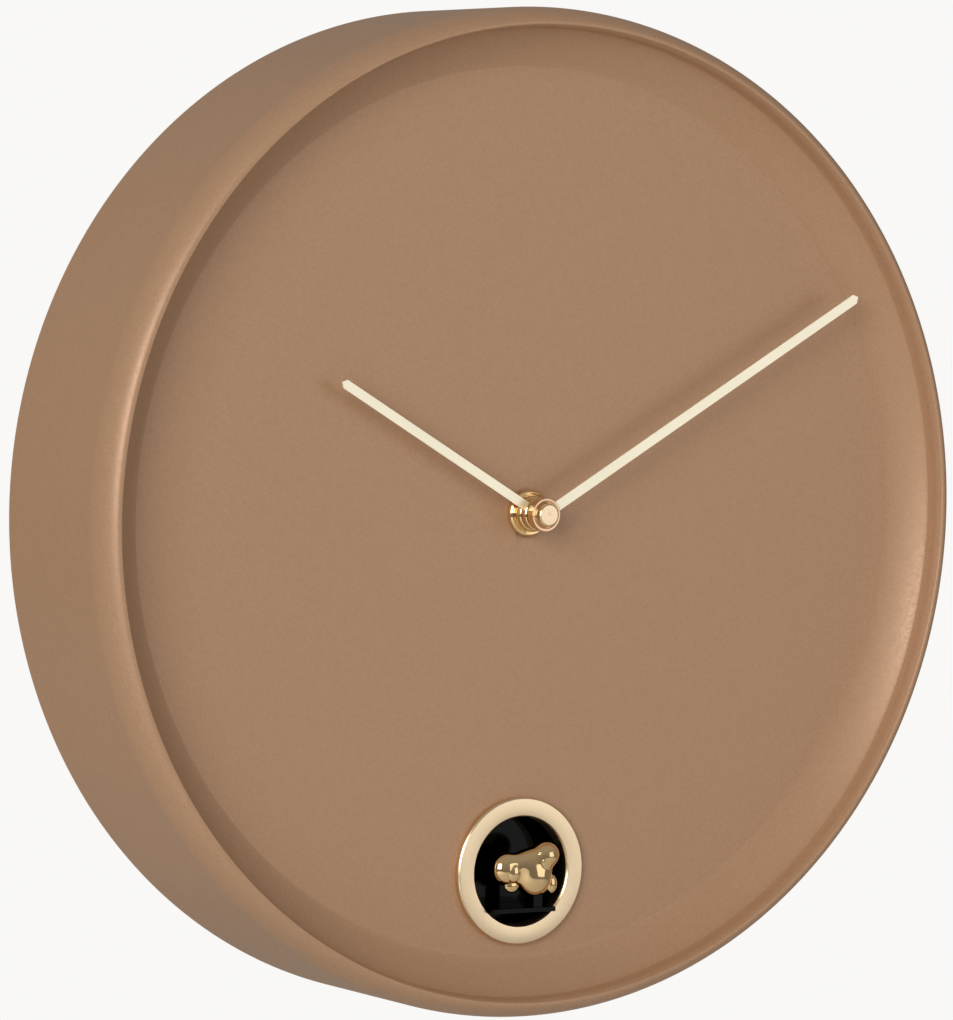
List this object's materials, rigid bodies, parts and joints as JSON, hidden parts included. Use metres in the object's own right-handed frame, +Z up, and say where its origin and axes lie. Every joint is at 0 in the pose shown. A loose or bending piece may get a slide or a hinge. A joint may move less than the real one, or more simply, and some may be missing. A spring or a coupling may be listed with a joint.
{
  "type": "cuckoo wall clock",
  "caption": "Round wall clock with a deep one-piece rim and dial, two straight hands, a ring-trimmed window with a pop-out bird, and a quartz movement behind the dial.",
  "frame": {"origin": "on the hand axis, at the rear face that lies against the wall", "axes": "+Z up towards twelve o'clock, +Y into the wall, -Y out of the dial towards the viewer, +X towards three o'clock"},
  "size_m": [0.3, 0.0585, 0.3],
  "materials": {
    "case_paint": "ABS moulding sprayed in a fine metallic caramel paint",
    "black_moulding": "black ABS, spark-eroded texture",
    "black_gloss": "high-gloss black ABS",
    "satin_gold": "brushed and anodised champagne gold",
    "hand_gold": "pressed sheet lacquered pale gold",
    "polished_gold": "polished gold plating",
    "steel": "zinc-plated steel",
    "white_gear": "natural white acetal",
    "magnet": "sintered magnet",
    "copper": "enamelled copper wire on a bobbin",
    "board_green": "green solder mask on glass-epoxy board",
    "chip_black": "epoxy package",
    "rubber": "black rubber",
    "paper_cone": "pressed paper cone",
    "cell_jacket": "plain printed battery jacket"
  },
  "bodies": {
    "case": {"front_shell": "case_paint", "dial_panel": "case_paint", "back_cover": "black_moulding", "movement_case": "black_moulding", "movement_cover": "black_moulding", "gear_bracket": "black_moulding", "window_sleeve": "black_gloss", "trim_ring": "satin_gold", "dial_nut": "polished_gold", "threaded_bush": "polished_gold", "hanger_plate": "steel", "hanger_screw_1": "steel", "hanger_screw_2": "steel", "cover_screw_1": "steel", "cover_screw_2": "steel", "cover_screw_3": "steel", "cover_screw_4": "steel", "cover_screw_5": "steel", "cover_screw_6": "steel", "bracket_screw_1": "steel", "bracket_screw_2": "steel", "battery_contact_link": "steel", "battery_terminal_1": "steel", "battery_terminal_2": "steel", "speaker_basket": "steel", "slide_switch_body": "steel", "stator": "steel", "quartz_crystal": "steel", "motor_body": "steel", "coil": "copper", "sound_board": "board_green", "quartz_board": "board_green", "push_switch_body": "chip_black", "sound_chip": "chip_black", "dial_washer": "rubber", "battery_lead": "rubber", "motor_lead": "rubber", "speaker_cone": "paper_cone", "battery_cell_1": "cell_jacket", "battery_cell_2": "cell_jacket"},
    "minute_set": {"minute_arbor": "steel", "minute_hand": "hand_gold", "hand_cap": "satin_gold"},
    "hour_set": {"hour_wheel": "white_gear", "hour_hand": "hand_gold"},
    "motion_wheel_set": {"motion_wheel": "white_gear"},
    "setting_knob_set": {"setting_knob": "white_gear"},
    "rotor_set": {"rotor": "magnet"},
    "step_wheel_set": {"step_wheel": "white_gear"},
    "seconds_wheel_set": {"seconds_wheel": "white_gear"},
    "third_wheel_set": {"third_wheel": "white_gear"},
    "centre_wheel_set": {"centre_wheel": "white_gear"},
    "bird_carriage": {"bird_tray": "black_gloss", "bird": "polished_gold"},
    "drive_gear_set": {"drive_gear": "white_gear"},
    "motor_pinion_set": {"motor_pinion": "polished_gold"},
    "battery_lid": {"battery_door": "black_moulding"},
    "volume_switch": {"volume_slider": "white_gear"},
    "test_push_button": {"test_button": "white_gear"}
  },
  "joints": [
    {"name": "minute_hand_turn", "type": "hinge", "parent": "case", "child": "minute_set", "pos_m": [0, -0.03, 0], "axis": [0, 1, 0], "continuous": true},
    {"name": "hour_hand_turn", "type": "hinge", "parent": "case", "child": "hour_set", "pos_m": [0, -0.03, 0], "axis": [0, 1, 0], "continuous": true},
    {"name": "motion_wheel_turn", "type": "hinge", "parent": "case", "child": "motion_wheel_set", "pos_m": [0.00517, -0.03, -0.00895], "axis": [0, 1, 0], "continuous": true},
    {"name": "setting_knob_turn", "type": "hinge", "parent": "case", "child": "setting_knob_set", "pos_m": [0.01034, -0.03, -0.01791], "axis": [0, 1, 0], "continuous": true},
    {"name": "seconds_wheel_turn", "type": "hinge", "parent": "case", "child": "seconds_wheel_set", "pos_m": [0.00025, -0.03, 0.00912], "axis": [0, 1, 0], "continuous": true},
    {"name": "step_wheel_turn", "type": "hinge", "parent": "case", "child": "step_wheel_set", "pos_m": [0.00459, -0.03, 0.01664], "axis": [0, 1, 0], "continuous": true},
    {"name": "rotor_turn", "type": "hinge", "parent": "case", "child": "rotor_set", "pos_m": [0.01447, -0.03, 0.01664], "axis": [0, 1, 0], "continuous": true},
    {"name": "third_wheel_turn", "type": "hinge", "parent": "case", "child": "third_wheel_set", "pos_m": [-0.0096, -0.03, 0.00554], "axis": [0, 1, 0], "continuous": true},
    {"name": "centre_wheel_turn", "type": "hinge", "parent": "case", "child": "centre_wheel_set", "pos_m": [0, -0.03, 0], "axis": [0, 1, 0], "continuous": true},
    {"name": "bird_slide", "type": "slide", "parent": "case", "child": "bird_carriage", "axis": [0, 1, 0], "range_m": [0, 0.01]},
    {"name": "drive_gear_turn", "type": "hinge", "parent": "case", "child": "drive_gear_set", "pos_m": [0, -0.029, -0.08025], "axis": [1, 0, 0], "range_deg": [-2, 193]},
    {"name": "motor_pinion_turn", "type": "hinge", "parent": "case", "child": "motor_pinion_set", "pos_m": [0, -0.029, -0.06991], "axis": [1, 0, 0], "range_deg": [-575, 5]},
    {"name": "battery_door_swing", "type": "hinge", "parent": "case", "child": "battery_lid", "pos_m": [-0.075, -0.0009, -0.0162], "axis": [-1, 0, 0], "range_deg": [0, 110]},
    {"name": "volume_slide", "type": "slide", "parent": "case", "child": "volume_switch", "axis": [1, 0, 0], "range_m": [-0.004, 0.004]},
    {"name": "test_button_press", "type": "slide", "parent": "case", "child": "test_push_button", "axis": [0, -1, 0], "range_m": [0, 0.0012], "stiffness_N_per_m": 600, "springref_m": -0.0006}
  ],
  "couplings": [
    {"joint": "motion_wheel_turn", "follows": "minute_hand_turn", "ratio": -0.33333},
    {"joint": "hour_hand_turn", "follows": "minute_hand_turn", "ratio": 0.083333},
    {"joint": "setting_knob_turn", "follows": "minute_hand_turn", "ratio": 1},
    {"joint": "step_wheel_turn", "follows": "seconds_wheel_turn", "ratio": -6},
    {"joint": "rotor_turn", "follows": "seconds_wheel_turn", "ratio": 30},
    {"joint": "third_wheel_turn", "follows": "seconds_wheel_turn", "ratio": -0.13333},
    {"joint": "centre_wheel_turn", "follows": "seconds_wheel_turn", "ratio": 0.016667},
    {"joint": "drive_gear_turn", "follows": "bird_slide", "rad_per_m": 333.33},
    {"joint": "motor_pinion_turn", "follows": "bird_slide", "rad_per_m": -1000}
  ]
}
